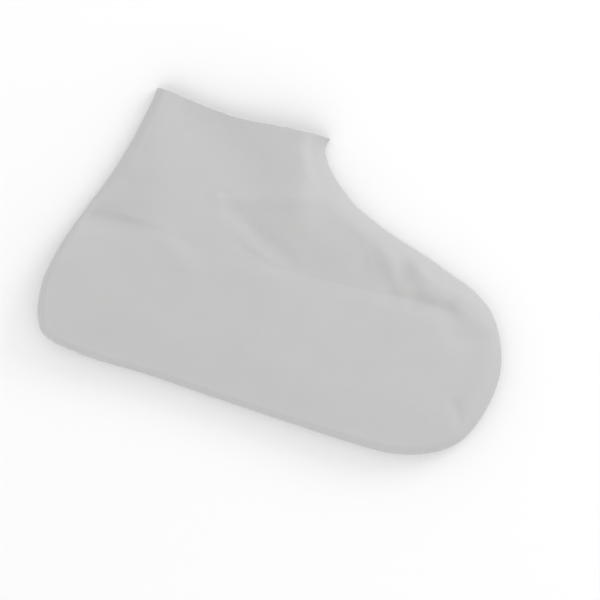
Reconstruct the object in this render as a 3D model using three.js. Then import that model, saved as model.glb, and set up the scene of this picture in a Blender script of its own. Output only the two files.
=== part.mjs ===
// A moulded latex overshoe, collapsed and lying on its side on a flat surface.
// Millimetres, +Z up, +X from heel to toe, +Y from the sole's lower edge up to the collar.
// The sole is turned up and lies on top, between the lower edge and the sole's upper edge.
import * as THREE from "three";

// Overall sizes of the overshoe as it lies.
const LENGTH = 260; // heel to toe
const HEIGHT = 158; // sole's lower edge to the collar's front tip
const PUFF = 17; // how high the upper stands above the surface
const CROWN = 2.5; // how much higher it swells away from its folded edges
const CROWN_REACH = 44; // how far in from those edges it goes on swelling
const SOLE_WIDTH = 84; // sole's lower edge to its upper edge

// Walls. The sole is dipped thicker than the upper.
const UPPER_WALL = 1.0;
const SOLE_WALL = 1.5;

// The moulded edge of the sole: how far the panel stands proud, and over what distance it drops.
const SOLE_STEP = 1.9;
const SOLE_STEP_RUN = 5;

// Folds round the outline: the reach of the round shoulder on top, and the roll against the surface.
const SHOULDER = 14;
const ROLL = 5.5;

// Collar: how far its edge dips between the tips, and how far down that dip fades out.
const COLLAR_DIP = 4.1;
const COLLAR_DIP_REACH = 26;
const COLLAR_DIP_SKEW = 1.2; // above 1 the dip is deepest nearer the back tip
const LIP_ROUND = 0.35; // bulge of the cut edge

// Creases and swells on top: the sizes that a row's width and rise are shares of.
const CREASE_WIDTH = 10;
const CREASE_RISE = 3;

// Sections from the collar to the toe, each a line across the flattened tube from the front fold to
// the back fold. A fold's place is [share of LENGTH, share of HEIGHT]. high is a share of PUFF, roll a
// share of ROLL, and round gives the shoulders at the front and the back fold as shares of SHOULDER.
const SECTIONS = [
  { at: "collar edge", front: [0.4935, 1], back: [0.1055, 0.985], high: 0.7, roll: 0.5, round: [1, 0.6] },
  { at: "lip", front: [0.4895, 0.978], back: [0.1045, 0.955], high: 0.71, roll: 0.52, round: [1, 0.58] },
  { at: "collar", front: [0.4905, 0.948], back: [0.1005, 0.89], high: 0.73, roll: 0.58, round: [1, 0.56] },
  { at: "ankle", front: [0.5035, 0.911], back: [0.087, 0.765], high: 0.79, roll: 0.7, round: [1, 0.52] },
  { at: "bend", front: [0.5205, 0.8785], back: [0.0655, 0.622], high: 0.85, roll: 0.8, round: [0.95, 0.48] },
  { at: "shank", front: [0.5385, 0.8525], back: [0.0365, 0.482], high: 0.9, roll: 0.9, round: [0.9, 0.45] },
  { at: "heel", front: [0.558, 0.829], back: [0.0105, 0.338], high: 0.97, roll: 1, round: [0.86, 0.38] },
  { at: "widest", front: [0.577, 0.8075], back: [-0.001, 0.181], high: 1, roll: 1.1, round: [0.82, 0.34] },
  { at: "corner", front: [0.5985, 0.788], back: [0.0295, 0.032], high: 1, roll: 1.1, round: [0.8, 0.33] },
  { at: "rear arch", front: [0.6265, 0.769], back: [0.12, -0.001], high: 0.95, roll: 1, round: [0.78, 0.32] },
  { at: "arch", front: [0.663, 0.747], back: [0.277, 0.001], high: 0.88, roll: 0.9, round: [0.76, 0.32] },
  { at: "instep", front: [0.713, 0.7235], back: [0.454, -0.005], high: 0.86, roll: 0.9, round: [0.74, 0.32] },
  { at: "waist", front: [0.7705, 0.699], back: [0.608, -0.0075], high: 0.9, roll: 0.95, round: [0.7, 0.33] },
  { at: "ball", front: [0.8265, 0.669], back: [0.731, -0.008], high: 0.93, roll: 1, round: [0.66, 0.36] },
  { at: "toes", front: [0.883, 0.6345], back: [0.8235, 0], high: 0.91, roll: 1.1, round: [0.6, 0.4] },
  { at: "toe cap", front: [0.9335, 0.58], back: [0.897, 0.0385], high: 0.85, roll: 1.2, round: [0.54, 0.43] },
  { at: "toe bow", front: [0.973, 0.501], back: [0.953, 0.1045], high: 0.79, roll: 1.3, round: [0.5, 0.45] },
  { at: "tip", front: [0.9945, 0.4035], back: [0.9875, 0.196], high: 0.75, roll: 1.35, round: [0.47, 0.46] },
  { at: "toe", front: [1, 0.3], back: [1, 0.3], high: 0.74, roll: 1.35, round: [0.46, 0.46] },
];

// The sole's upper edge, from heel to toe: along is a share of LENGTH, up a share of SOLE_WIDTH, and
// drop a share of SOLE_STEP, least where the ankle pulls the edge flat.
const SOLE_EDGE = [
  { along: 0, up: 0.88, drop: 0.7 },
  { along: 0.042, up: 0.893, drop: 1 },
  { along: 0.175, up: 0.933, drop: 0.75 },
  { along: 0.29, up: 0.91, drop: 0.3 },
  { along: 0.415, up: 0.92, drop: 0.6 },
  { along: 0.5, up: 0.937, drop: 0.9 },
  { along: 0.59, up: 0.958, drop: 0.8 },
  { along: 0.68, up: 0.98, drop: 0.9 },
  { along: 0.77, up: 1.005, drop: 1 },
  { along: 0.84, up: 1.01, drop: 1 },
  { along: 0.905, up: 0.985, drop: 0.7 },
  { along: 0.965, up: 0.94, drop: 0.3 },
  { along: 1, up: 0.9, drop: 0 },
];

// Creases and swells on top. Each runs [from] one end [to] the other, both as [share of LENGTH, share of
// HEIGHT], and bows sideways in the middle by a share of its run. width is a share of CREASE_WIDTH and
// rise a share of CREASE_RISE, below zero for a crease.
const CREASES = [
  { at: "valley below the collar", from: [0.1, 1.09], to: [0.45, 0.71], bow: 0, width: 1.8, rise: -1.6 },
  { at: "crest by the front fold", from: [0.409, 1.132], to: [0.53, 0.475], bow: 0, width: 1, rise: 0.8 },
  { at: "ridge over the dent", from: [0.27, 0.66], to: [0.54, 0.8], bow: 0, width: 0.6, rise: 0.55 },
  { at: "ankle dent", from: [0.3, 0.69], to: [0.5, 0.53], bow: 0, width: 0.6, rise: -0.7 },
  { at: "hollow beside the dent", from: [0.321, 0.781], to: [0.464, 0.49], bow: 0, width: 1.6, rise: -0.55 },
  { at: "ridge under the dent", from: [0.266, 0.672], to: [0.508, 0.476], bow: 0, width: 0.5, rise: 0.35 },
  { at: "ridge behind ankle", from: [0.187, 0.567], to: [0.338, 0.386], bow: -0.08, width: 0.7, rise: 0.4 },
  { at: "crease above the heel", from: [-0.036, 0.459], to: [0.219, 0.479], bow: 0, width: 0.5, rise: -0.9 },
  { at: "hollow above the heel", from: [-0.06, 0.5], to: [0.2, 0.47], bow: 0, width: 1.6, rise: -0.7 },
  { at: "trough by sole's edge", from: [0.426, 0.522], to: [0.843, 0.557], bow: 0, width: 1.5, rise: -0.6 },
  { at: "first instep fold", from: [0.643, 0.711], to: [0.774, 0.505], bow: 0, width: 0.6, rise: 0.7 },
  { at: "hollow between folds", from: [0.764, 0.731], to: [0.755, 0.495], bow: 0, width: 0.6, rise: -0.55 },
  { at: "second instep fold", from: [0.753, 0.725], to: [0.916, 0.543], bow: -0.12, width: 0.6, rise: 0.7 },
  { at: "foot of the folds", from: [0.73, 0.535], to: [0.925, 0.535], bow: 0, width: 0.5, rise: -0.5 },
  { at: "toe pucker", from: [0.825, 0.603], to: [0.899, 0.416], bow: 0, width: 0.5, rise: -0.3 },
  { at: "groove inside the toe", from: [0.93, 0.52], to: [0.9, 0.08], bow: 0.17, width: 0.6, rise: -0.5 },
];
const CREASE_EASE = 0.3; // share of a crease's run over which it eases in and out

// Fineness of the surface: rings between two sections, and points round a ring.
const RINGS_PER_SECTION = 3;
const TOP = { edge: 4, middle: 30 };
const UNDERSIDE = { edge: 4, middle: 5 };
const OUTLINE_STEPS = 12;
const WIDEST_EDGE = 0.36; // share of a narrow ring that one rounded edge may take up

const { clamp, lerp, smoothstep } = THREE.MathUtils;

// The outline as one smooth curve from the collar's front tip, round the toe, sole and heel, to the
// collar's back tip.
function outlineCurve() {
  const place = ([along, up]) => new THREE.Vector3(along * LENGTH, up * HEIGHT, 0);
  const front = SECTIONS.map((row) => place(row.front));
  const back = SECTIONS.map((row) => place(row.back));
  return new THREE.CatmullRomCurve3([...front, ...back.reverse().slice(1)], false, "centripetal");
}

const TOE = SECTIONS.length - 1;
const OUTLINE = outlineCurve();
const OUTLINE_POINTS = OUTLINE.getPoints(2 * TOE * OUTLINE_STEPS);

// A smooth curve through one column of a table: Hermite pieces between rows, with the slope at a row
// taken from its two neighbours. place and value read a row's position and its height.
function follow(rows, place, value, x) {
  const last = rows.length - 1;
  const slope = (k) => {
    const [a, b] = [Math.max(k - 1, 0), Math.min(k + 1, last)];
    return (value(rows[b]) - value(rows[a])) / (place(rows[b], b) - place(rows[a], a));
  };
  let i = 0;
  while (i < last - 1 && place(rows[i + 1], i + 1) < x) i += 1;
  const run = place(rows[i + 1], i + 1) - place(rows[i], i);
  const t = clamp((x - place(rows[i], i)) / run, 0, 1);
  const ease = t * t * (3 - 2 * t);
  const start = t * (1 - t) ** 2 * run * slope(i);
  const finish = t * t * (t - 1) * run * slope(i + 1);
  return lerp(value(rows[i]), value(rows[i + 1]), ease) + start + finish;
}

// Distance in plan from a point to the outline. The open collar isn't part of it.
function distanceToOutline(x, y) {
  let nearest = Infinity;
  for (let i = 1; i < OUTLINE_POINTS.length; i += 1) {
    const [a, b] = [OUTLINE_POINTS[i - 1], OUTLINE_POINTS[i]];
    const [dx, dy] = [b.x - a.x, b.y - a.y];
    const t = clamp(((x - a.x) * dx + (y - a.y) * dy) / (dx * dx + dy * dy), 0, 1);
    nearest = Math.min(nearest, Math.hypot(x - a.x - t * dx, y - a.y - t * dy));
  }
  return nearest;
}

// Quarter of an ellipse: 0 at the outline, level from one reach inwards.
const roundEdge = (distance, reach) => Math.sqrt(1 - (1 - Math.min(distance / reach, 1)) ** 2);

// Reads the sole's edge at a place along the sole.
const soleEdge = (value, x) => follow(SOLE_EDGE, (row) => row.along * LENGTH, value, x);

// How far onto the sole a point is: 0 on the upper, 1 on the sole.
function soleShare(x, y) {
  const inside = soleEdge((row) => row.up, x) * SOLE_WIDTH - y;
  return smoothstep(inside, -SOLE_STEP_RUN / 2, SOLE_STEP_RUN / 2);
}

// Sum of the creases and swells at a point: each is a bell across its line, easing in at both ends.
function creaseRise(x, y) {
  return CREASES.reduce((sum, row) => {
    const [ax, ay] = [row.from[0] * LENGTH, row.from[1] * HEIGHT];
    const [dx, dy] = [row.to[0] * LENGTH - ax, row.to[1] * HEIGHT - ay];
    const run = Math.hypot(dx, dy);
    const t = ((x - ax) * dx + (y - ay) * dy) / (run * run);
    const bowed = 4 * row.bow * run * t * (1 - t);
    const across = (((y - ay) * dx - (x - ax) * dy) / run - bowed) / (row.width * CREASE_WIDTH);
    const ease = smoothstep(t, 0, CREASE_EASE) * smoothstep(1 - t, 0, CREASE_EASE);
    return sum + row.rise * CREASE_RISE * ease * Math.exp(-across * across);
  }, 0);
}

// Places along a ring, from 0 at the front fold to 1 at the back fold: close together round both
// folds, over the reach of each fold's rounding, and even between them.
function places({ edge, middle }, chord, reaches) {
  const [front, back] = reaches.map((reach) => Math.min(reach / chord, WIDEST_EDGE));
  const bend = Array.from({ length: edge }, (_, i) => 1 - Math.cos((Math.PI * i) / edge / 2));
  const even = Array.from({ length: middle + 1 }, (_, i) => lerp(front, 1 - back, i / middle));
  return [...bend.map((v) => front * v), ...even, ...bend.map((v) => 1 - back * v).reverse()];
}

// One closed ring of the outer skin: over the top from the back fold to the front fold, and back
// along the underside. index counts the sections from the collar, with fractions between them.
function ring(index) {
  const front = OUTLINE.getPoint(index / TOE / 2);
  const back = OUTLINE.getPoint(1 - index / TOE / 2);
  const chord = Math.max(front.distanceTo(back), SOLE_WALL);
  const column = (value) => follow(SECTIONS, (_, i) => i, value, index);
  const high = column((row) => row.high);
  const roll = column((row) => row.roll) * ROLL;
  const frontRound = column((row) => row.round[0]) * SHOULDER;
  const backRound = column((row) => row.round[1]) * SHOULDER;

  const point = (v, onTop) => {
    const flat = new THREE.Vector3().lerpVectors(front, back, v);
    const dipShare = clamp(1 - (HEIGHT - flat.y) / COLLAR_DIP_REACH, 0, 1) ** 2;
    flat.y -= COLLAR_DIP * dipShare * Math.sin(Math.PI * v ** COLLAR_DIP_SKEW) ** 2;
    const distance = v === 0 || v === 1 ? 0 : distanceToOutline(flat.x, flat.y);
    if (!onTop) return flat.setZ(roll * (1 - roundEdge(distance, roll)));
    const shoulder = lerp(frontRound, backRound, smoothstep(v, 0, 1));
    const crown = CROWN * smoothstep(distance, 0, CROWN_REACH);
    const step = SOLE_STEP * soleEdge((row) => row.drop, flat.x) * soleShare(flat.x, flat.y);
    const rise = (high * PUFF - roll + step) * roundEdge(distance, shoulder);
    const relief = (crown + creaseRise(flat.x, flat.y)) * smoothstep(distance, 0, shoulder);
    return flat.setZ(roll + rise + relief);
  };
  const over = places(TOP, chord, [frontRound, backRound]).reverse().map((v) => point(v, true));
  const under = places(UNDERSIDE, chord, [roll, roll]).slice(1, -1).map((v) => point(v, false));
  return [...over, ...under];
}

// Rows of triangles between rings of equal count; a ring of one point is a pole.
function band(rings) {
  const count = Math.max(...rings.map((points) => points.length));
  const starts = rings.map((_, i) => rings.slice(0, i).reduce((sum, points) => sum + points.length, 0));
  const at = (i, k) => starts[i] + (rings[i].length === 1 ? 0 : k % count);
  const triangles = [];
  for (let i = 0; i + 1 < rings.length; i += 1)
    for (let k = 0; k < count; k += 1) {
      const [a, b, c, d] = [at(i, k), at(i, k + 1), at(i + 1, k + 1), at(i + 1, k)];
      if (a !== b) triangles.push(a, b, c);
      if (c !== d) triangles.push(a, c, d);
    }
  return triangles;
}

function geometryOf(rings) {
  const geometry = new THREE.BufferGeometry().setFromPoints(rings.flat());
  geometry.setIndex(band(rings));
  geometry.computeVertexNormals();
  return geometry;
}

// The inner skin follows the outer one at the wall's thickness, measured along the outer normals.
// rings run from the toe up to the collar, so that the normals point out.
function innerRings(rings) {
  const normals = geometryOf(rings).getAttribute("normal");
  let n = 0;
  const inward = (point) => {
    const normal = new THREE.Vector3().fromBufferAttribute(normals, n);
    n += 1;
    const onSole = normal.z > 0 ? soleShare(point.x, point.y) : 0;
    return point.clone().addScaledVector(normal, -lerp(UPPER_WALL, SOLE_WALL, onSole));
  };
  return rings.map((points) => points.map(inward));
}

// The whole shell: outer skin from the toe up to the collar, round the cut edge, and down inside.
// Rings crowd together towards the toe's tip, so that it is round.
function shell() {
  const count = TOE * RINGS_PER_SECTION;
  const index = (i) => {
    const even = i / RINGS_PER_SECTION;
    const past = even - (TOE - 1);
    return past > 0 ? TOE - 1 + Math.sin((Math.PI * past) / 2) : even;
  };
  const outer = Array.from({ length: count + 1 }, (_, i) => ring(index(i))).reverse();
  outer[0] = [outer[0][0]];
  const inner = innerRings(outer);
  const lip = outer[count].map((point, k) => {
    const middle = point.clone().lerp(inner[count][k], 0.5);
    middle.y += LIP_ROUND;
    return middle;
  });
  return geometryOf([...outer, lip, ...inner.reverse()]);
}

// Stands the origin under the middle of the overshoe, on the surface.
function centred(geometry) {
  geometry.computeBoundingBox();
  const middle = geometry.boundingBox.getCenter(new THREE.Vector3());
  return geometry.translate(-middle.x, -middle.y, -geometry.boundingBox.min.z);
}

const latex = new THREE.MeshStandardMaterial({ color: 0xc5c5c5, roughness: 0.6, metalness: 0 });

const overshoe = new THREE.Mesh(centred(shell()), latex);
overshoe.name = "overshoe_shell";

const group = new THREE.Group();
group.add(overshoe);
export default group;
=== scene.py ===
"""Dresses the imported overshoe: a dip-moulded rubber shell, collapsed, lying on its side.

The shell is a height over its plan. The outline is one curve round the folded edges, each ring of the
shell crosses it from the front fold to the back fold, and the skins' heights follow from how far a point
lies from that outline, from the moulded sole's edge and from the creases. Lengths are metres.
"""

import math
from collections import namedtuple

import bpy
import numpy as np
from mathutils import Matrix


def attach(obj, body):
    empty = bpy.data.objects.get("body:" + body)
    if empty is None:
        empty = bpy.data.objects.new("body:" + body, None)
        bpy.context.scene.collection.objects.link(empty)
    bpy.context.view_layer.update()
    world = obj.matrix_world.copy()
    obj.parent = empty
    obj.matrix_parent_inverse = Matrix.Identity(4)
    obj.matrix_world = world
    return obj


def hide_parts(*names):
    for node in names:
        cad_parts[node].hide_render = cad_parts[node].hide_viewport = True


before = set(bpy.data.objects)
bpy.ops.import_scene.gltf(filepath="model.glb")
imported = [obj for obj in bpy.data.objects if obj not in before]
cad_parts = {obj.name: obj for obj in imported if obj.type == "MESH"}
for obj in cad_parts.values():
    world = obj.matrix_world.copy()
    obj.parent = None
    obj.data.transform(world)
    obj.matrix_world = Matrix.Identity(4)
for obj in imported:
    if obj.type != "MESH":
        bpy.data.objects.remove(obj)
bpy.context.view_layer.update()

bl_info = {
    "name": "Moulded Overshoe",
    "version": (1, 0, 0),
    "blender": (4, 5, 0),
    "location": "3D View > Sidebar > Overshoe",
    "description": "Dip-moulded rubber overshoe, collapsed on its side, with a plain studio",
    "category": "Add Mesh",
}

NODE = "overshoe_shell"

# The outline's named lengths, which the tables' shares follow.
LENGTH = 0.260
HEIGHT = 0.158

# Sections from the collar to the toe. A fold's place is (share of LENGTH, share of HEIGHT). high is a
# share of the puff, roll a share of the roll, and round gives the shoulders at the front and the back
# fold as shares of the shoulder.
Section = namedtuple("Section", "name front back high roll round")
SECTIONS = [
    Section("collar edge", (0.4935, 0.991), (0.1055, 0.9765), 0.7, 0.5, (1, 0.46)),
    Section("lip", (0.4895, 0.97), (0.1045, 0.948), 0.71, 0.52, (1, 0.45)),
    Section("collar", (0.4905, 0.948), (0.1005, 0.89), 0.73, 0.58, (1, 0.44)),
    Section("ankle", (0.5035, 0.911), (0.087, 0.765), 0.79, 0.7, (1, 0.44)),
    Section("bend", (0.5205, 0.8785), (0.0655, 0.622), 0.85, 0.8, (0.95, 0.62)),
    Section("heel top", (0.5385, 0.8525), (0.0365, 0.482), 0.9, 0.9, (0.9, 0.5)),
    Section("heel", (0.558, 0.829), (0.0105, 0.338), 0.97, 1, (0.86, 0.36)),
    Section("widest heel", (0.577, 0.8075), (-0.001, 0.181), 1, 1.1, (0.82, 0.34)),
    Section("corner", (0.5985, 0.788), (0.0295, 0.032), 1, 1.1, (0.8, 0.33)),
    Section("behind arch", (0.6265, 0.769), (0.12, -0.001), 0.95, 1, (0.78, 0.32)),
    Section("arch", (0.663, 0.747), (0.277, 0.001), 0.88, 0.9, (0.76, 0.32)),
    Section("instep", (0.713, 0.7235), (0.454, -0.005), 0.86, 0.9, (0.74, 0.32)),
    Section("waist", (0.7705, 0.699), (0.608, -0.0075), 0.9, 0.95, (0.7, 0.33)),
    Section("ball", (0.8265, 0.669), (0.731, -0.008), 0.93, 1, (0.66, 0.36)),
    Section("toes", (0.884, 0.638), (0.8235, 0), 0.94, 1.1, (0.52, 0.4)),
    Section("toe cap", (0.9355, 0.585), (0.898, 0.0375), 0.9, 1.2, (0.46, 0.43)),
    Section("toe bow", (0.9705, 0.506), (0.953, 0.1035), 0.85, 1.3, (0.48, 0.45)),
    Section("tip", (0.992, 0.4135), (0.9785, 0.18), 0.79, 1.35, (0.47, 0.46)),
    Section("toe", (0.996, 0.315), (0.996, 0.315), 0.78, 1.35, (0.46, 0.46)),
]

# The sole's upper edge from heel to toe: along is a share of LENGTH, up a share of the sole's width, and
# drop a share of the sole's step.
SoleEdge = namedtuple("SoleEdge", "along up drop")
SOLE_EDGE = [
    SoleEdge(0, 0.88, 0.7),
    SoleEdge(0.042, 0.893, 1),
    SoleEdge(0.175, 0.933, 0.75),
    SoleEdge(0.29, 0.91, 0.2),
    SoleEdge(0.415, 0.92, 0.3),
    SoleEdge(0.5, 0.937, 0.5),
    SoleEdge(0.59, 0.958, 0.7),
    SoleEdge(0.68, 0.98, 0.85),
    SoleEdge(0.77, 1.005, 0.9),
    SoleEdge(0.84, 1.01, 0.5),
    SoleEdge(0.905, 0.985, 0.2),
    SoleEdge(0.965, 0.94, 0.15),
    SoleEdge(1, 0.9, 0),
]

# Creases and swells on top, each from one end to the other as (share of LENGTH, share of HEIGHT), bowed
# sideways by a share of its run. width is a share of the crease's width and rise of its rise.
Crease = namedtuple("Crease", "name start end bow width rise")
CREASES = [
    Crease("valley below the collar", (0.092, 1.07), (0.442, 0.69), 0, 2, -1.35),
    Crease("swell behind the collar", (0.115, 1.08), (0.155, 0.62), 0, 1.1, 0.5),
    Crease("crest by the front fold", (0.409, 1.132), (0.515, 0.6), 0, 1, 0.8),
    Crease("ridge over the dent", (0.27, 0.66), (0.54, 0.8), 0, 0.6, 0.65),
    Crease("ankle dent", (0.3, 0.685), (0.54, 0.5), 0, 0.6, -0.42),
    Crease("hollow beside the dent", (0.321, 0.781), (0.464, 0.49), 0, 1.6, -0.65),
    Crease("ridge under the dent", (0.266, 0.672), (0.508, 0.476), 0, 0.5, 0.1),
    Crease("ridge behind ankle", (0.187, 0.567), (0.338, 0.386), -0.08, 0.7, 0.4),
    Crease("crease above the heel", (-0.036, 0.459), (0.212, 0.482), 0, 0.5, -0.42),
    Crease("hollow above the heel", (-0.08, 0.51), (0.2, 0.47), 0, 1.6, -1),
    Crease("trough by sole's edge", (0.426, 0.522), (0.843, 0.557), 0, 1.5, -0.75),
    Crease("first instep fold", (0.655, 0.715), (0.78, 0.505), 0, 0.6, 0.7),
    Crease("hollow between folds", (0.739, 0.718), (0.73, 0.482), 0, 0.6, -0.5),
    Crease("second instep fold", (0.732, 0.712), (0.892, 0.565), -0.16, 0.75, 0.8),
    Crease("foot of the folds", (0.73, 0.535), (0.875, 0.55), 0, 0.5, -0.5),
    Crease("toe pucker", (0.825, 0.603), (0.899, 0.416), 0, 0.6, -0.35),
    Crease("rim inside the toe", (0.93, 0.52), (0.9, 0.08), 0.17, 0.6, 0.35),
]
# Fine wrinkles between them, in the same columns.
WRINKLES = [
    Crease("arc beside the dent", (0.285, 0.71), (0.32, 0.56), 0.14, 0.33, 0.12),
    Crease("hook over the arc", (0.268, 0.63), (0.345, 0.7), 0.22, 0.25, -0.14),
    Crease("line under the dent", (0.345, 0.575), (0.5, 0.5), -0.08, 0.22, -0.16),
    Crease("pull from the dent", (0.335, 0.62), (0.44, 0.53), 0.05, 0.25, 0.07),
    Crease("line above the heel", (0.045, 0.482), (0.205, 0.492), 0.03, 0.25, -0.12),
    Crease("second line above the heel", (0.02, 0.53), (0.12, 0.525), -0.05, 0.35, -0.16),
    Crease("back pucker", (0.05, 0.66), (0.13, 0.63), 0.05, 0.4, -0.14),
    Crease("upper back pucker", (0.07, 0.77), (0.15, 0.73), 0.06, 0.45, -0.12),
    Crease("instep line", (0.6, 0.72), (0.66, 0.55), 0.06, 0.3, -0.12),
    Crease("line between folds", (0.7, 0.69), (0.745, 0.53), -0.05, 0.25, 0.12),
    Crease("fold at the toes", (0.85, 0.582), (0.955, 0.5), 0, 0.5, 0.45),
    Crease("line inside the toe cap", (0.905, 0.62), (0.968, 0.5), 0.08, 0.25, 0.16),
    Crease("toe dimple", (0.905, 0.26), (0.95, 0.15), 0.1, 0.35, -0.3),
    Crease("front collar pull", (0.44, 1.02), (0.475, 0.87), -0.04, 0.3, 0.1),
    Crease("back collar pull", (0.15, 1.03), (0.185, 0.86), 0.05, 0.35, -0.1),
]
CREASE_EASE = 0.3  # share of a crease's run over which it eases in and out

# Slow waves that moulded rubber keeps when it is laid down: wavelength in metres, the way the wave runs,
# where it starts, and its share of the ripple's height.
Wave = namedtuple("Wave", "length heading phase share")
WAVES = [
    Wave(0.071, math.radians(24), 0.6, 1),
    Wave(0.047, math.radians(-38), 2.1, 0.7),
    Wave(0.031, math.radians(67), 4.0, 0.45),
    Wave(0.023, math.radians(-12), 1.3, 0.3),
    Wave(0.016, math.radians(112), 5.2, 0.18),
]

# The cut edge of the collar wanders a little: the same columns, along the edge.
EDGE_WAVES = [
    Wave(0.031, 0, 0.9, 1),
    Wave(0.0133, 0, 2.2, 0.6),
    Wave(0.0071, 0, 4.4, 0.4),
    Wave(0.0043, 0, 1.7, 0.25),
]

# Fineness of the grid: rings between two sections, and points across a ring's two edges and its middle.
RINGS_PER_SECTION = 16
TOP_EDGE, TOP_MIDDLE = 14, 130
UNDER_EDGE, UNDER_MIDDLE = 10, 10
OUTLINE_STEPS = 36
WIDEST_EDGE = 0.36  # share of a narrow ring that one rounded edge may take up
LIP_STEPS = 6
INNER_STRIDE = 2  # the inner skin has a ring for each so many of the outer one's
# Hollowness drives only the painted shade: darker hollows and lighter crests in the rubber's colour.
HOLLOW_STEP = 3  # grid steps over which a hollow is felt
HOLLOW_DEPTH = 0.0004  # depth below its surroundings at which a point counts as fully in a hollow
EDGE_FADE = 8  # the cut edge's wander fades below it as this power of the way down
CHUNKS = 60  # parts in which distances to the outline are worked out, to save memory
LEAST_LENGTH = 1e-15  # a normal's length is never divided by less

# Sizes in metres of the patterns in the rubber, from the slowest drift of tone to the powdered grain.
DRIFT, CLOUDS, PEEL, SPECKS, GRAIN = 0.06, 0.011, 0.0055, 0.0009, 0.0007
FLOOR_DRIFT = 0.25

# How the patterns share the work: the mottle's shares of tone, what the roughness gains, the share of the
# grain that the sole loses, and the orange peel's height as a share of the grain's.
DRIFT_TONE, CLOUDS_TONE, SPECKS_TONE = 0.5, 0.3, 0.2
DRIFT_DULL, CLOUDS_DULL, SOLE_SHINE = 0.04, 0.05, 0.03
SOLE_GRAIN_LOSS = 0.3
PEEL_HEIGHT = 1.6

# A Mix node's two colour sockets and its colour output, by number.
MIX_A, MIX_B, MIX_RESULT = 6, 7, 2
SENSOR_WIDTH = 36.0  # of the camera, in millimetres

TOE = len(SECTIONS) - 1


class OvershoeSizes(bpy.types.PropertyGroup):
    """Sizes of the overshoe as it lies, apart from its outline."""

    puff: bpy.props.FloatProperty(
        name="Puff", description="How high the upper stands above the surface",
        default=0.017, unit="LENGTH")
    crown: bpy.props.FloatProperty(
        name="Crown", description="How much higher it swells away from its folded edges",
        default=0.0025, unit="LENGTH")
    crown_reach: bpy.props.FloatProperty(
        name="Crown Reach", description="How far in from the folded edges it goes on swelling",
        default=0.032, unit="LENGTH")
    shoulder: bpy.props.FloatProperty(
        name="Shoulder", description="Reach of the round shoulder on top along the folds",
        default=0.014, unit="LENGTH")
    roll: bpy.props.FloatProperty(
        name="Roll", description="Radius with which the folds roll onto the surface",
        default=0.0055, unit="LENGTH")
    sole_width: bpy.props.FloatProperty(
        name="Sole Width", description="From the sole's lower edge to its upper edge",
        default=0.084, unit="LENGTH")
    sole_step: bpy.props.FloatProperty(
        name="Sole Step", description="How far the sole stands proud of the upper",
        default=0.0019, unit="LENGTH")
    sole_step_run: bpy.props.FloatProperty(
        name="Sole Step Run", description="Distance over which the sole drops to the upper",
        default=0.008, unit="LENGTH")
    sole_step_lead: bpy.props.FloatProperty(
        name="Sole Step Lead", description="How much of that distance lies on the upper's side",
        default=0.001, unit="LENGTH")
    crease_width: bpy.props.FloatProperty(
        name="Crease Width", description="Half width that the creases' shares follow",
        default=0.010, unit="LENGTH")
    crease_rise: bpy.props.FloatProperty(
        name="Crease Rise", description="Height that the creases' shares follow",
        default=0.003, unit="LENGTH")
    ripple: bpy.props.FloatProperty(
        name="Ripple", description="Height of the slow waves over the top",
        default=0.00022, unit="LENGTH")
    cut_wander: bpy.props.FloatProperty(
        name="Cut Wander", description="How far the collar's cut edge wanders",
        default=0.00022, unit="LENGTH")
    collar_dip: bpy.props.FloatProperty(
        name="Collar Dip", description="How far the collar's edge dips between its tips",
        default=0.0044, unit="LENGTH")
    collar_dip_reach: bpy.props.FloatProperty(
        name="Collar Dip Reach", description="How far below the collar that dip fades out",
        default=0.026, unit="LENGTH")
    collar_dip_skew: bpy.props.FloatProperty(
        name="Collar Dip Skew", description="Above 1 the dip is deepest nearer the back tip",
        default=1.2)
    upper_wall: bpy.props.FloatProperty(
        name="Upper Wall", description="Thickness of the upper's rubber",
        default=0.001, unit="LENGTH")
    sole_wall: bpy.props.FloatProperty(
        name="Sole Wall", description="Thickness of the sole's rubber",
        default=0.0015, unit="LENGTH")
    lip_round: bpy.props.FloatProperty(
        name="Lip Round", description="Bulge of the collar's cut edge",
        default=0.00035, unit="LENGTH")


class LatexFinish(bpy.types.PropertyGroup):
    """Colour and grain of the dipped rubber, and the painted shade of its hollows and crests."""

    color: bpy.props.FloatVectorProperty(
        name="Colour", description="Colour of the rubber", subtype="COLOR",
        size=3, min=0, max=1, default=(0.515, 0.515, 0.513))
    mottle: bpy.props.FloatProperty(
        name="Mottle", description="How far the colour drifts, as a share", subtype="FACTOR",
        default=0.035, min=0, max=1)
    # Painted shade: hollows are darkened and crests lightened in the base colour, standing in for shade.
    hollow_painted_shade: bpy.props.FloatProperty(
        name="Painted Shade", description="How much darker the deepest hollows are, as a share", subtype="FACTOR",
        default=0.03, min=0, max=1)
    roughness: bpy.props.FloatProperty(
        name="Roughness", description="Roughness of the rubber", subtype="FACTOR",
        default=0.58, min=0, max=1)
    grain: bpy.props.FloatProperty(
        name="Grain", description="Height of the powdered grain", unit="LENGTH", default=0.00004)


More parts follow.
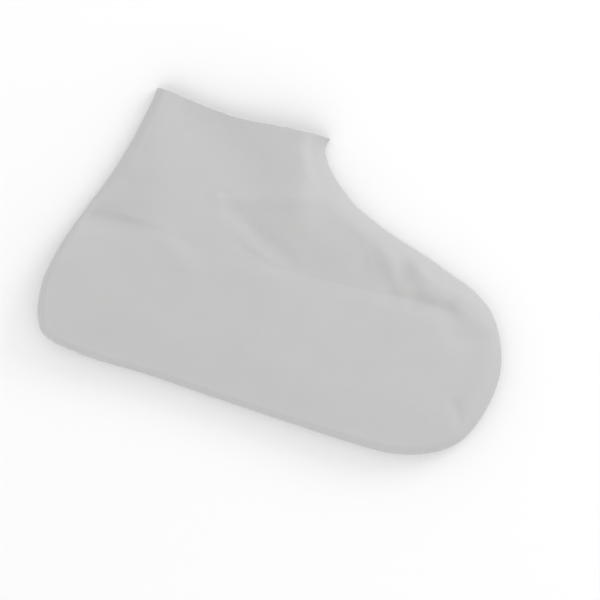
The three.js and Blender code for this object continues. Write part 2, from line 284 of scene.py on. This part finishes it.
class StudioSettings(bpy.types.PropertyGroup):
    """Camera over the overshoe, lights and floor."""

    camera_height: bpy.props.FloatProperty(
        name="Camera Height", description="Camera above the surface, looking straight down",
        default=2.4, unit="LENGTH")
    turn: bpy.props.FloatProperty(
        name="Turn", description="How far the overshoe's sole is turned clockwise in the picture",
        default=math.radians(17.83), unit="ROTATION")
    picture_width: bpy.props.FloatProperty(
        name="Picture Width", description="Width of surface that the picture covers",
        default=0.3362, unit="LENGTH")
    aim: bpy.props.FloatVectorProperty(
        name="Aim", description="Point of the surface in the middle of the picture",
        size=2, default=(0.0104, -0.012), unit="LENGTH")
    sky: bpy.props.FloatProperty(
        name="Sky", description="Strength of the even white light from all round", default=0.98, min=0)
    key: bpy.props.FloatProperty(
        name="Key", description="Power of the large soft light", default=4.3, min=0, unit="POWER")
    key_size: bpy.props.FloatProperty(
        name="Key Size", description="Width of the soft light", default=0.7, unit="LENGTH")
    key_heading: bpy.props.FloatProperty(
        name="Key Heading", description="Where the light comes from, counted from the picture's right",
        default=math.radians(38), unit="ROTATION")
    key_reach: bpy.props.FloatProperty(
        name="Key Reach", description="How far to the side the light stands", default=1.3, unit="LENGTH")
    key_height: bpy.props.FloatProperty(
        name="Key Height", description="How high the light stands", default=0.8, unit="LENGTH")
    floor_size: bpy.props.FloatProperty(
        name="Floor Size", description="Length of the floor's sides", default=80, unit="LENGTH")
    floor_color: bpy.props.FloatVectorProperty(
        name="Floor Colour", description="Colour of the floor", subtype="COLOR",
        size=3, min=0, max=1, default=(0.93, 0.93, 0.93))
    floor_mottle: bpy.props.FloatProperty(
        name="Floor Mottle", description="How far the floor's colour drifts, as a share",
        subtype="FACTOR", default=0.004, min=0, max=1)


def follow(places, values, x):
    """Value at x of a smooth curve through a table's column.

    Between two rows it is the cubic that has the rows' values and slopes at its ends, and a row's slope
    is the rise over the run between its two neighbours.
    """
    places, values = np.asarray(places, float), np.asarray(values, float)
    row = np.arange(len(places))
    before, after = np.maximum(row - 1, 0), np.minimum(row + 1, len(places) - 1)
    slope = (values[after] - values[before]) / (places[after] - places[before])
    i = np.clip(np.searchsorted(places, x, side="right") - 1, 0, len(places) - 2)
    run = places[i + 1] - places[i]
    t = np.clip((x - places[i]) / run, 0, 1)
    level = values[i] + (values[i + 1] - values[i]) * t * t * (3 - 2 * t)
    return level + run * (t * (1 - t) ** 2 * slope[i] + t * t * (t - 1) * slope[i + 1])


def ease(x, low, high):
    """Smooth step from 0 at low to 1 at high: t squared times 3 minus 2t, with t the share of the way."""
    t = np.clip((x - low) / (high - low), 0, 1)
    return t * t * (3 - 2 * t)


def outline_at(t):
    """Plan point of the outline at t, from 0 at the collar's front tip, round the toe, sole and heel, to
    1 at its back tip.

    It is the centripetal Catmull-Rom curve through the sections' folds: a cubic from each point to the
    next, whose end slopes weigh the neighbouring spans by the square roots of their lengths.
    """
    front = [section.front for section in SECTIONS]
    back = [section.back for section in reversed(SECTIONS[:-1])]
    points = np.array(front + back, float) * (LENGTH, HEIGHT)
    padded = np.vstack([2 * points[0] - points[1], points, 2 * points[-1] - points[-2]])
    place = np.asarray(t, float) * (len(points) - 1)
    i = np.minimum(place.astype(int), len(points) - 2)
    w = (place - i)[..., None]
    p0, p1, p2, p3 = (padded[i + k] for k in range(4))
    d0, d1, d2 = (np.sqrt(np.linalg.norm(b - a, axis=-1, keepdims=True))
                  for a, b in ((p0, p1), (p1, p2), (p2, p3)))
    leave = d1 * ((p1 - p0) / d0 - (p2 - p0) / (d0 + d1) + (p2 - p1) / d1)
    arrive = d1 * ((p2 - p1) / d1 - (p3 - p1) / (d1 + d2) + (p3 - p2) / d2)
    curve = p1 + w * leave
    curve += w ** 2 * (3 * (p2 - p1) - 2 * leave - arrive)
    return curve + w ** 3 * (2 * (p1 - p2) + leave + arrive)


def distance_to_outline(plan):
    """Distance of each plan point from the outline, as the least distance to its short straight pieces.
    The open collar isn't part of the outline."""
    line = outline_at(np.linspace(0, 1, 2 * TOE * OUTLINE_STEPS + 1))
    start, way = line[:-1], np.diff(line, axis=0)
    length = (way ** 2).sum(-1)
    nearest = np.full(len(plan), np.inf)
    for part in np.array_split(np.arange(len(plan)), CHUNKS):
        gap = plan[part, None] - start
        t = np.clip((gap * way).sum(-1) / length, 0, 1)
        nearest[part] = np.sqrt(((gap - t[..., None] * way) ** 2).sum(-1)).min(-1)
    return nearest


def round_edge(distance, reach):
    """Quarter of an ellipse: 0 at the outline, level from one reach inwards."""
    return np.sqrt(1 - (1 - np.minimum(distance / reach, 1)) ** 2)


def sole_share(plan, sizes):
    """How far onto the sole each plan point is: 0 on the upper and 1 on the sole. It rises at once at the
    sole's edge and levels off: twice t minus t squared, with t the share of the step's run."""
    edge = follow([row.along * LENGTH for row in SOLE_EDGE], [row.up for row in SOLE_EDGE], plan[:, 0])
    inside = edge * sizes.sole_width - plan[:, 1]
    t = np.clip((inside + sizes.sole_step_lead) / sizes.sole_step_run, 0, 1)
    return t * (2 - t)


def crease_rise(plan, sizes):
    """Sum of creases and wrinkles: each is a bell across its bowed line, times an ease in and out along
    it."""
    total = np.zeros(len(plan))
    for crease in CREASES + WRINKLES:
        start = np.array(crease.start) * (LENGTH, HEIGHT)
        way = np.array(crease.end) * (LENGTH, HEIGHT) - start
        run = np.linalg.norm(way)
        gap = plan - start
        t = gap @ way / run ** 2
        side = (gap[:, 1] * way[0] - gap[:, 0] * way[1]) / run - 4 * crease.bow * run * t * (1 - t)
        along = ease(t, 0, CREASE_EASE) * ease(1 - t, 0, CREASE_EASE)
        total += crease.rise * along * np.exp(-(side / (crease.width * sizes.crease_width)) ** 2)
    return total * sizes.crease_rise


def waves(plan, table):
    """Sum of a table's sine waves, each along its own heading."""
    total = np.zeros(plan.shape[:-1])
    for wave in table:
        along = plan @ (math.cos(wave.heading), math.sin(wave.heading))
        total += wave.share * np.sin(2 * math.pi * along / wave.length + wave.phase)
    return total


def places(edge, middle, chord, front, back):
    """Shares of the way across each ring, from 0 at the front fold to 1 at the back fold: one minus a
    cosine over the reach of each fold's rounding, and even between them."""
    front, back = (np.minimum(reach / chord, WIDEST_EDGE) for reach in (front, back))
    bend = 1 - np.cos(np.linspace(0, math.pi / 2, edge, endpoint=False))
    even = front + (1 - back - front) * np.linspace(0, 1, middle + 1)
    return np.hstack([front * bend, even, 1 - back * bend[::-1]])


def outer_skin(sizes):
    """Rings of the outer skin, from the toe up to the collar, as an array of rings by points by 3.

    A ring runs over the top from the back fold to the front fold and back along the underside. With d
    the distance to the outline, the underside is the roll times one minus its rounded edge, and the top
    is the roll, plus the rise to the section's height and the sole's step times the shoulder's rounded
    edge, plus the crown, creases and ripple, which fade out at the outline.
    """
    index = np.linspace(TOE, 0, TOE * RINGS_PER_SECTION + 1)
    front, back = outline_at(index / TOE / 2), outline_at(1 - index / TOE / 2)
    chord = np.maximum(np.linalg.norm(back - front, axis=-1), sizes.sole_wall)[:, None]

    rows = np.arange(TOE + 1)
    high = follow(rows, [s.high for s in SECTIONS], index)[:, None] * sizes.puff
    roll = follow(rows, [s.roll for s in SECTIONS], index)[:, None] * sizes.roll
    front_round = follow(rows, [s.round[0] for s in SECTIONS], index)[:, None] * sizes.shoulder
    back_round = follow(rows, [s.round[1] for s in SECTIONS], index)[:, None] * sizes.shoulder

    def plan_of(v):
        """Plan points at those shares of the way across, with the collar's dip, and their distances."""
        plan = front[:, None] * (1 - v[..., None]) + back[:, None] * v[..., None]
        down = np.clip(1 - (HEIGHT - plan[..., 1]) / sizes.collar_dip_reach, 0, 1)
        plan[..., 1] -= sizes.collar_dip * down ** 2 * np.sin(math.pi * v ** sizes.collar_dip_skew) ** 2
        plan[..., 1] += sizes.cut_wander * down ** EDGE_FADE * waves(plan, EDGE_WAVES)
        distance = distance_to_outline(plan.reshape(-1, 2)).reshape(v.shape)
        return plan, np.where((v == 0) | (v == 1), 0, distance)

    v = places(TOP_EDGE, TOP_MIDDLE, chord, front_round, back_round)[:, ::-1]
    plan, distance = plan_of(v)
    flat = plan.reshape(-1, 2)
    drop = follow([row.along * LENGTH for row in SOLE_EDGE], [row.drop for row in SOLE_EDGE], flat[:, 0])
    step = (sizes.sole_step * drop * sole_share(flat, sizes)).reshape(v.shape)
    shoulder = front_round + (back_round - front_round) * ease(v, 0, 1)
    relief = sizes.crown * ease(distance, 0, sizes.crown_reach) + sizes.ripple * waves(plan, WAVES)
    relief += crease_rise(flat, sizes).reshape(v.shape)
    top = roll + (high - roll + step) * round_edge(distance, shoulder)
    top += relief * ease(distance, 0, shoulder)
    over = np.dstack([plan, top])

    v = places(UNDER_EDGE, UNDER_MIDDLE, chord, roll, roll)[:, 1:-1]
    plan, distance = plan_of(v)
    under = np.dstack([plan, roll * (1 - round_edge(distance, roll))])
    return np.concatenate([over, under], axis=1)


def ring_quads(rings, count):
    """Quads between each ring of a grid and the next, by row, each as four places in the grid."""
    ring, k = np.arange(rings - 1)[:, None] * count, np.arange(count)
    after = (k + 1) % count
    return np.stack([ring + k, ring + after, ring + count + after, ring + count + k], axis=-1)


def vertex_normals(points):
    """Unit normals of a grid whose rings close: the sum of the cross products of the diagonals of the
    quads round each point. The ring at the pole shares one normal."""
    rings, count = points.shape[:2]
    flat, quads = points.reshape(-1, 3), ring_quads(rings, count).reshape(-1, 4)
    across = np.cross(flat[quads[:, 2]] - flat[quads[:, 0]], flat[quads[:, 3]] - flat[quads[:, 1]])
    total = np.zeros_like(flat)
    for corner in range(4):
        np.add.at(total, quads[:, corner], across)
    total = total.reshape(points.shape)
    total[0] = total[0].sum(0)
    return total / np.maximum(np.linalg.norm(total, axis=-1, keepdims=True), LEAST_LENGTH)


def hollowness(points, normals, step):
    """How far each point lies below the middle of its neighbours a step away both ways round and both
    ways along, measured along its normal."""
    rows = np.arange(len(points))
    along = points[np.minimum(rows + step, len(points) - 1)] + points[np.maximum(rows - step, 0)]
    around = np.roll(points, step, axis=1) + np.roll(points, -step, axis=1)
    return (((along + around) / 4 - points) * normals).sum(-1)


def shell_grid(sizes):
    """The whole shell as one grid of closed rings, outer skin, round lip and the inner skin one wall
    inside, with the share of each point that lies on the sole and in a hollow."""
    outer = outer_skin(sizes)
    outer[0] = outer[0, 0]
    normals = vertex_normals(outer)
    on_top = normals[..., 2] > 0
    on_sole = np.where(on_top, sole_share(outer[..., :2].reshape(-1, 2), sizes).reshape(on_top.shape), 0)
    hollow = np.where(on_top, hollowness(outer, normals, HOLLOW_STEP), 0)
    wall = sizes.upper_wall + (sizes.sole_wall - sizes.upper_wall) * on_sole
    inner = outer - normals * wall[..., None]

    turn = np.linspace(0, math.pi, LIP_STEPS + 1)[1:-1, None, None]
    middle, half = (outer[-1] + inner[-1]) / 2, (outer[-1] - inner[-1]) / 2
    lip = middle + half * np.cos(turn) + np.array([0, sizes.lip_round, 0]) * np.sin(turn)
    inner = inner[::-1][::INNER_STRIDE]
    inner[-1] = inner[-1, 0]
    points = np.concatenate([outer, lip, inner])
    plain = np.zeros((len(points) - len(outer), points.shape[1]))
    return points, np.concatenate([on_sole, plain]), np.concatenate([hollow, plain])


def centred(points):
    """Moves the plan so that its middle is over the origin, as the frame's is."""
    flat = points.reshape(-1, 3)
    middle = (flat.min(0) + flat.max(0)) / 2
    return points - (middle[0], middle[1], flat[:, 2].min())


def closed_faces(rings, count):
    """Faces of a grid whose first and last ring are each one point: a fan of triangles at both ends and
    quads between. Point 0 is the first pole, and the rings between follow it in order."""
    k = np.arange(count)
    after = (k + 1) % count
    last = 1 + (rings - 2) * count
    start = np.stack([np.zeros_like(k), 1 + after, 1 + k], axis=-1)
    end = np.stack([last - count + k, last - count + after, np.full_like(k, last)], axis=-1)
    quads = 1 + ring_quads(rings - 2, count).reshape(-1, 4)
    return start.tolist() + quads.tolist() + end.tolist()


def without_poles(values):
    """A grid's values as one row, with the first and the last ring kept as one point each."""
    flat = values[1:-1].reshape(-1, *values.shape[2:])
    return np.concatenate([values[:1, 0], flat, values[-1:, 0]])


def add_mesh(context, name, points, faces):
    """Puts points and faces into a new smooth-shaded object at the origin."""
    mesh = bpy.data.meshes.new(name)
    mesh.from_pydata(points.tolist(), [], faces)
    mesh.shade_smooth()
    made = bpy.data.objects.new(name, mesh)
    context.scene.collection.objects.link(made)
    return made


def add_attribute(made, name, values):
    """Stores one number for each vertex."""
    layer = made.data.attributes.new(name, "FLOAT", "POINT")
    layer.data.foreach_set("value", np.ascontiguousarray(values, dtype=np.float32))


class Wire:
    """A shader tree and one of its sockets. Sums, products and differences of wires and numbers add Math
    nodes."""

    def __init__(self, tree, socket=None):
        self.tree = tree
        self.socket = socket

    def node(self, kind, settings=None, values=None, output=0):
        """Adds a node, sets its settings first and then its sockets, and returns one of its outputs, if it
        has any."""
        made = self.tree.nodes.new(kind)
        for name, value in (settings or {}).items():
            setattr(made, name, value)
        feed(made, values or {})
        return Wire(self.tree, made.outputs[output] if made.outputs else None)

    def math(self, operation, *values):
        """A Math node on those values, which are wires or numbers."""
        return self.node("ShaderNodeMath", {"operation": operation}, dict(enumerate(values)))

    def __add__(self, other):
        return self.math("ADD", self, other)

    def __radd__(self, other):
        return self.math("ADD", other, self)

    def __sub__(self, other):
        return self.math("SUBTRACT", self, other)

    def __rsub__(self, other):
        return self.math("SUBTRACT", other, self)

    def __mul__(self, other):
        return self.math("MULTIPLY", self, other)

    def __rmul__(self, other):
        return self.math("MULTIPLY", other, self)

    def clamped(self, low, high):
        """The wire held between two numbers."""
        return self.math("MINIMUM", self.math("MAXIMUM", self, low), high)

    def attribute(self, name):
        """A number stored on the mesh's vertices."""
        return self.node("ShaderNodeAttribute", {"attribute_name": name}, output="Fac")

    def noise(self, size, detail=2.0, roughness=0.5):
        """Noise centred on 0, from about -1 to 1, with blobs of about that size in metres."""
        raw = self.node("ShaderNodeTexNoise", {"noise_dimensions": "3D"},
                        {"Vector": self, "Scale": 1 / size, "Detail": detail, "Roughness": roughness},
                        output="Fac")
        return (raw - 0.5) * 2.0

    def times_color(self, color):
        """A plain colour made lighter or darker by this tone."""
        gray = self.node("ShaderNodeCombineColor", None, {0: self, 1: self, 2: self})
        return self.node("ShaderNodeMix", {"data_type": "RGBA", "blend_type": "MULTIPLY"},
                         {"Factor": 1.0, MIX_A: (*color, 1), MIX_B: gray}, output=MIX_RESULT)


def new_material(name):
    """A material with an empty tree, its Principled shader and its Object coordinates."""
    material = bpy.data.materials.new(name)
    material.use_nodes = True
    material.node_tree.nodes.clear()
    tree = Wire(material.node_tree)
    shader = tree.node("ShaderNodeBsdfPrincipled")
    tree.node("ShaderNodeOutputMaterial", None, {"Surface": shader})
    spot = tree.node("ShaderNodeTexCoord", output="Object")
    return material, shader.socket.node, spot


def feed(node, values):
    """Feeds a node's sockets, each from a wire or with a plain value."""
    for name, value in values.items():
        if isinstance(value, Wire):
            value.tree.links.new(value.socket, node.inputs[name])
        else:
            node.inputs[name].default_value = value


def latex_material(finish):
    """Dipped rubber: a grey that drifts slowly and in small clouds, with painted shade darkening the
    hollows and a painted highlight lightening the crests, a fine powdered grain and a faint orange peel in
    the relief. The powder lies unevenly, so the dullness drifts too, and the thicker sole is a little
    smoother."""
    material, shader, spot = new_material("dipped latex")
    slow = spot.noise(DRIFT, detail=3)
    clouds = spot.noise(CLOUDS, detail=4, roughness=0.6)
    specks = spot.noise(SPECKS)
    hollow = spot.attribute("hollow").clamped(-1, 1)
    sole = spot.attribute("sole")
    mottle = slow * DRIFT_TONE + clouds * CLOUDS_TONE + specks * SPECKS_TONE
    # The mottle is the rubber's own drifting tone; the hollow term is painted shade, darker in hollows and
    # lighter on crests.
    tone = 1 + finish.mottle * mottle - finish.hollow_painted_shade * hollow
    grain = spot.noise(GRAIN, detail=3, roughness=0.65)
    peel = spot.noise(PEEL)
    height = grain * (finish.grain - SOLE_GRAIN_LOSS * finish.grain * sole)
    height = height + peel * (finish.grain * PEEL_HEIGHT)
    feed(shader, {
        "Base Color": tone.times_color(finish.color),
        "Roughness": finish.roughness + CLOUDS_DULL * clouds + DRIFT_DULL * slow - SOLE_SHINE * sole,
        "Normal": spot.node("ShaderNodeBump", None, {"Strength": 1.0, "Distance": 1.0, "Height": height}),
        "IOR": 1.5,
        "Specular IOR Level": 0.4,
        "Subsurface Weight": 0.08,
        "Subsurface Radius": (1, 1, 1),
        "Subsurface Scale": 0.0015,
    })
    return material


def floor_material(studio):
    """Plain pale matt floor with the faintest drift of tone."""
    material, shader, spot = new_material("pale floor")
    tone = 1 + studio.floor_mottle * spot.noise(FLOOR_DRIFT)
    feed(shader, {
        "Base Color": tone.times_color(studio.floor_color),
        "Roughness": 0.9,
        "Specular IOR Level": 0.2,
    })
    return material


class OVERSHOE_OT_shell(bpy.types.Operator):
    """Builds the rubber shell, upper, sole and collar in one piece"""

    bl_idname = "overshoe.shell"
    bl_label = "Build Overshoe Shell"

    def execute(self, context):
        points, on_sole, hollow = shell_grid(context.scene.overshoe_sizes)
        points = centred(points)
        shell = add_mesh(context, "overshoe", without_poles(points), closed_faces(*points.shape[:2]))
        add_attribute(shell, "sole", without_poles(on_sole))
        # The hollowness is stored only to paint shade into the rubber's colour.
        add_attribute(shell, "hollow", without_poles(hollow) / HOLLOW_DEPTH)
        shell.data.materials.append(latex_material(context.scene.overshoe_finish))
        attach(shell, "root")
        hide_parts(NODE)
        return {"FINISHED"}


class OVERSHOE_OT_studio(bpy.types.Operator):
    """Builds the floor, the soft lights and the camera straight above"""

    bl_idname = "overshoe.studio"
    bl_label = "Build Studio"

    def execute(self, context):
        studio = context.scene.overshoe_studio
        half = studio.floor_size / 2
        corners = [(-half, -half, 0), (half, -half, 0), (half, half, 0), (-half, half, 0)]
        floor = add_mesh(context, "floor", np.array(corners), [(0, 1, 2, 3)])
        floor.data.materials.append(floor_material(studio))

        world = bpy.data.worlds.new("studio")
        world.use_nodes = True
        background = world.node_tree.nodes["Background"]
        background.inputs["Color"].default_value = (1, 1, 1, 1)
        background.inputs["Strength"].default_value = studio.sky
        context.scene.world = world

        key = bpy.data.lights.new("key", "AREA")
        key.shape = "DISK"
        key.size = studio.key_size
        key.energy = studio.key
        lamp = bpy.data.objects.new("key", key)
        heading, reach = studio.turn + studio.key_heading, studio.key_reach
        lamp.location = (reach * math.cos(heading), reach * math.sin(heading), studio.key_height)
        lamp.rotation_euler = (-lamp.location).to_track_quat("-Z", "Y").to_euler()
        context.scene.collection.objects.link(lamp)

        camera = bpy.data.cameras.new("camera")
        camera.sensor_width = SENSOR_WIDTH
        camera.lens = camera.sensor_width * studio.camera_height / studio.picture_width
        seat = bpy.data.objects.new("camera", camera)
        seat.location = (studio.aim[0], studio.aim[1], studio.camera_height)
        seat.rotation_euler = (0, 0, studio.turn)
        context.scene.collection.objects.link(seat)
        context.scene.camera = seat
        context.scene.view_settings.view_transform = "Standard"
        return {"FINISHED"}


class OVERSHOE_PT_panel(bpy.types.Panel):
    """Lists the overshoe's sizes, finish and operators"""

    bl_label = "Overshoe"
    bl_idname = "OVERSHOE_PT_panel"
    bl_space_type = "VIEW_3D"
    bl_region_type = "UI"
    bl_category = "Overshoe"

    def draw(self, context):
        scene = context.scene
        for group in (scene.overshoe_sizes, scene.overshoe_finish, scene.overshoe_studio):
            box = self.layout.box()
            for name in group.bl_rna.properties.keys():
                if name not in ("rna_type", "name"):
                    box.prop(group, name)
        for operator in (OVERSHOE_OT_shell, OVERSHOE_OT_studio):
            self.layout.operator(operator.bl_idname)


CLASSES = (
    OvershoeSizes, LatexFinish, StudioSettings,
    OVERSHOE_OT_shell, OVERSHOE_OT_studio, OVERSHOE_PT_panel,
)
GROUPS = {
    "overshoe_sizes": OvershoeSizes,
    "overshoe_finish": LatexFinish,
    "overshoe_studio": StudioSettings,
}


def register():
    """Registers the classes and gives the scene its settings."""
    for cls in CLASSES:
        bpy.utils.register_class(cls)
    for name, group in GROUPS.items():
        setattr(bpy.types.Scene, name, bpy.props.PointerProperty(type=group))


def unregister():
    """Takes the settings and classes away again."""
    for name in GROUPS:
        delattr(bpy.types.Scene, name)
    for cls in reversed(CLASSES):
        bpy.utils.unregister_class(cls)


def main():
    """Builds the shell and the studio."""
    register()
    bpy.ops.overshoe.shell()
    bpy.ops.overshoe.studio()


if __name__ == "__main__":
    main()
